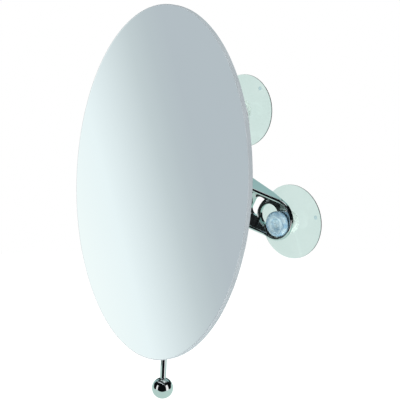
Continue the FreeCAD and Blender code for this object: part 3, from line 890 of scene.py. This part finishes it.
floor_material, floor_tree = stage_material("pale_floor")
paper = floor_tree.nodes.new("ShaderNodeBsdfDiffuse")
feed(floor_tree, paper.inputs["Color"], PAPER)
shine = floor_tree.nodes.new("ShaderNodeEmission")
floor_path = floor_tree.nodes.new("ShaderNodeLightPath")
camera_lift = combine(floor_tree, "MULTIPLY", floor_path.outputs["Is Camera Ray"], FLOOR_LIFT)
feed(floor_tree, shine.inputs["Color"], WHITE)
feed(floor_tree, shine.inputs["Strength"], camera_lift)
both = floor_tree.nodes.new("ShaderNodeAddShader")
feed(floor_tree, both.inputs[0], paper.outputs["BSDF"])
feed(floor_tree, both.inputs[1], shine.outputs["Emission"])
put_out(floor_tree, both.outputs["Shader"])

floor_reach = np.array([0.0, FLOOR_RADIUS])[:, None]
floor_grid = stacked(floor_reach * np.cos(round_turn), floor_reach * np.sin(round_turn), FLOOR_HEIGHT)
staged("pale_floor", floor_grid, floor_material, seen_by=("camera", "diffuse", "volume_scatter", "shadow"))
print("floor:", FLOOR_RADIUS, "m round, at", FLOOR_HEIGHT, "m")

# %% [markdown]
# ## Cards near the chrome
#
# A ball and an arm reflect what stands close to them, so a photographer puts
# cards there. Panels on the dome could do it only for one direction, because the
# dome is far away. A curled pale card lies under the ball, a white one stands
# beside it, and a small one behind the upper cup lights the arm there, also in
# reflections that pass through that cup. The cards show in soft reflections
# only: not in the mirror, and not in a straight look through a cup.

# %% Finish of a card
def card_material(name, colour):
    """Glowing card that soft reflections see, but neither perfectly sharp ones nor a look through a cup."""
    material, tree = stage_material(name)
    glow = tree.nodes.new("ShaderNodeEmission")
    feed(tree, glow.inputs["Color"], colour)
    clear = tree.nodes.new("ShaderNodeBsdfTransparent")
    path = tree.nodes.new("ShaderNodeLightPath")
    choice = tree.nodes.new("ShaderNodeMixShader")
    hidden = combine(tree, "MAXIMUM", path.outputs["Is Singular Ray"], straight_look(tree, path))
    feed(tree, choice.inputs["Fac"], hidden)
    feed(tree, choice.inputs[1], glow.outputs["Emission"])
    feed(tree, choice.inputs[2], clear.outputs["BSDF"])
    put_out(tree, choice.outputs["Shader"])
    return material


ball_card = card_material("white_card", PALE_GROUND)
side_card = card_material("side_card", WINDOW_LIGHT)
back_card = card_material("back_card", WINDOW_LIGHT)
print("card finishes:", ball_card.name, side_card.name, back_card.name)

# %% Card under the ball
CARD_CENTRE = np.array([0.0, -0.088, -0.215])
CARD_HALF_WIDTH, CARD_BACK, CARD_FRONT = 0.24, -0.13, 0.16
CARD_ROWS, CARD_COLUMNS = 41, 30
SIDE_CURL, BACK_CURL = 0.65, 5.0
LEVEL = np.array([1.0, 1.0, 0.0])
UPWARD = np.array([0.0, 0.0, 1.0])


def curled_card(across, forward):
    """Sheet under the ball, level in front and curled up at the sides and the back.

    height = side_curl * across squared + back_curl * min(forward, 0) squared
    """
    level_back = view_back * LEVEL / math.cos(VIEW_ELEVATION)
    rise = SIDE_CURL * across ** 2 + BACK_CURL * np.minimum(forward, 0.0) ** 2
    return CARD_CENTRE + across * view_right + forward * level_back + rise * UPWARD


card_across = np.linspace(-CARD_HALF_WIDTH, CARD_HALF_WIDTH, CARD_ROWS)[:, None, None]
card_forward = np.linspace(CARD_BACK, CARD_FRONT, CARD_COLUMNS)[None, :, None]
staged("white_card", curled_card(card_across, card_forward), ball_card, seen_by=("glossy",), closed=False)
print("card under the ball:", round(2 * CARD_HALF_WIDTH, 2), "m wide")

# %% Cards beside the ball and behind the upper cup
SIDE_CARD_AZIMUTH = math.radians(98.0)
SIDE_CARD_DISTANCE, SIDE_CARD_HALF_WIDTH = 0.15, 0.035
SIDE_CARD_UP = np.array([-0.18, -0.032])
BACK_CARD_ACROSS, BACK_CARD_UP = np.array([12.0, 75.0]) * MM, np.array([44.0, 95.0]) * MM
BACK_CARD_BEHIND = 6.0 * MM

side_middle = CARD_CENTRE * LEVEL + direction(SIDE_CARD_AZIMUTH, 0.0) * SIDE_CARD_DISTANCE
side_along = direction(SIDE_CARD_AZIMUTH + math.pi / 2, 0.0) * SIDE_CARD_HALF_WIDTH
both_ways = np.array([-1.0, 1.0])
side_grid = side_middle + both_ways[:, None, None] * side_along + SIDE_CARD_UP[None, :, None] * UPWARD
staged("side_card", side_grid, side_card, seen_by=("glossy",), closed=False)
back_grid = stacked(BACK_CARD_ACROSS[:, None], BACK_CARD_BEHIND, BACK_CARD_UP)
staged("back_card", back_grid, back_card, seen_by=("glossy", "transmission"), closed=False)
print("cards: one beside the ball, one", round(BACK_CARD_BEHIND / MM, 1), "mm behind the wall plane")

# %% [markdown]
# ## World and lamps
#
# The world is the white backdrop. For camera, glossy and transmission rays its
# strength is 1, which is white, though the dome stands before it for the last
# two. As a light it is weaker, so that the object isn't bleached. Four soft
# lamps shape the object. Sun lamps would throw hard shadows, and lamps that
# reflections see would print squares on the chrome, so these are area lamps
# that only light.

# %% White world
WORLD_LIGHT = 0.6

world = bpy.data.worlds.new("studio_world")
bpy.context.scene.world = world
world.use_nodes = True
sky = world.node_tree
backdrop = sky.nodes["Background"]
sky_path = sky.nodes.new("ShaderNodeLightPath")
direct = combine(sky, "MAXIMUM", sky_path.outputs["Is Camera Ray"], sky_path.outputs["Is Glossy Ray"])
direct = combine(sky, "MAXIMUM", direct, sky_path.outputs["Is Transmission Ray"])
feed(sky, backdrop.inputs["Color"], WHITE)
feed(sky, backdrop.inputs["Strength"], spread(sky, direct, FULL_RANGE, (WORLD_LIGHT, 1.0), smooth=False))
print("world: strength", WORLD_LIGHT, "as a light")

# %% Soft lamps
LAMPS = {  # azimuth and elevation in degrees, distance and size in metres, power in watts
    "key_lamp": (-30.0, 50.0, 1.8, 1.2, 14.0),
    "back_lamp": (150.0, 40.0, 1.8, 1.2, 8.0),
    "side_lamp": (52.0, 12.0, 1.5, 1.0, 12.0),
    "low_lamp": (0.0, -60.0, 0.5, 0.4, 1.6),
}


def soft_lamp(name, azimuth, elevation, distance, size, power):
    """Square area lamp that shines at the mirror and stays out of reflections."""
    data = bpy.data.lights.new(name, "AREA")
    data.size = size
    data.energy = power
    lamp = bpy.data.objects.new(name, data)
    look_from(lamp, VIEW_CENTRE, math.radians(azimuth), math.radians(elevation), distance)
    lamp.visible_camera = False
    lamp.visible_glossy = False
    lamp.visible_transmission = False
    bpy.context.scene.collection.objects.link(lamp)


for name, values in LAMPS.items():
    soft_lamp(name, *values)
print("lamps:", ", ".join(LAMPS))

# %% [markdown]
# ## Colour settings
#
# The view transform stays plain, so a colour renders about as it is written.

# %% Plain view transform
bpy.context.scene.view_settings.view_transform = "Standard"
